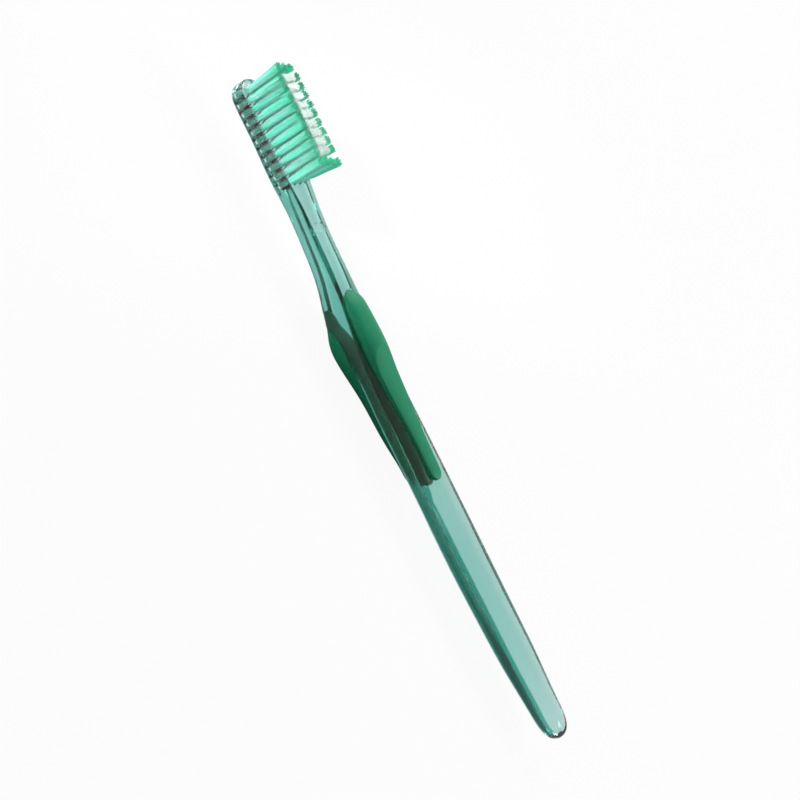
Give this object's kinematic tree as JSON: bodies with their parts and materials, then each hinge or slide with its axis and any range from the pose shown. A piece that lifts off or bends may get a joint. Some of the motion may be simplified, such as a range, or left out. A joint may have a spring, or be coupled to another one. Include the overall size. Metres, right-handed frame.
{
  "type": "manual toothbrush",
  "caption": "Manual toothbrush with a clear one-piece head, neck and handle, soft thumb and back grips, and filament tufts pinned in a rounded head.",
  "frame": {"origin": "middle of the length and the width, level with the lowest point of the back grip", "axes": "+X from the head to the tail, +Z the way the tufts point, +Y across"},
  "size_m": [0.187, 0.0142, 0.0243],
  "materials": {
    "clear_plastic": "clear, polished, green tint",
    "soft_grip": "satin",
    "green_filament": "satin",
    "white_filament": "satin",
    "anchor_metal": "drawn"
  },
  "bodies": {
    "root": {"handle": "clear_plastic", "front_grip": "soft_grip", "back_grip": "soft_grip", "tuft_anchors": "anchor_metal", "tuft_r01_c1": "green_filament", "tuft_r01_c2": "green_filament", "tuft_r01_c3": "green_filament", "tuft_r02_c1": "green_filament", "tuft_r02_c2": "white_filament", "tuft_r02_c3": "white_filament", "tuft_r02_c4": "green_filament", "tuft_r03_c1": "green_filament", "tuft_r03_c2": "white_filament", "tuft_r03_c3": "white_filament", "tuft_r03_c4": "green_filament", "tuft_r04_c1": "green_filament", "tuft_r04_c2": "white_filament", "tuft_r04_c3": "white_filament", "tuft_r04_c4": "green_filament", "tuft_r05_c1": "green_filament", "tuft_r05_c2": "white_filament", "tuft_r05_c3": "white_filament", "tuft_r05_c4": "green_filament", "tuft_r06_c1": "green_filament", "tuft_r06_c2": "white_filament", "tuft_r06_c3": "white_filament", "tuft_r06_c4": "green_filament", "tuft_r07_c1": "green_filament", "tuft_r07_c2": "white_filament", "tuft_r07_c3": "white_filament", "tuft_r07_c4": "green_filament", "tuft_r08_c1": "green_filament", "tuft_r08_c2": "white_filament", "tuft_r08_c3": "white_filament", "tuft_r08_c4": "green_filament", "tuft_r09_c1": "green_filament", "tuft_r09_c2": "white_filament", "tuft_r09_c3": "white_filament", "tuft_r09_c4": "green_filament", "tuft_r10_c1": "green_filament", "tuft_r10_c2": "white_filament", "tuft_r10_c3": "white_filament", "tuft_r10_c4": "green_filament", "tuft_r11_c1": "green_filament", "tuft_r11_c2": "green_filament", "tuft_r11_c3": "green_filament", "tuft_r11_c4": "green_filament"}
  },
  "joints": []
}
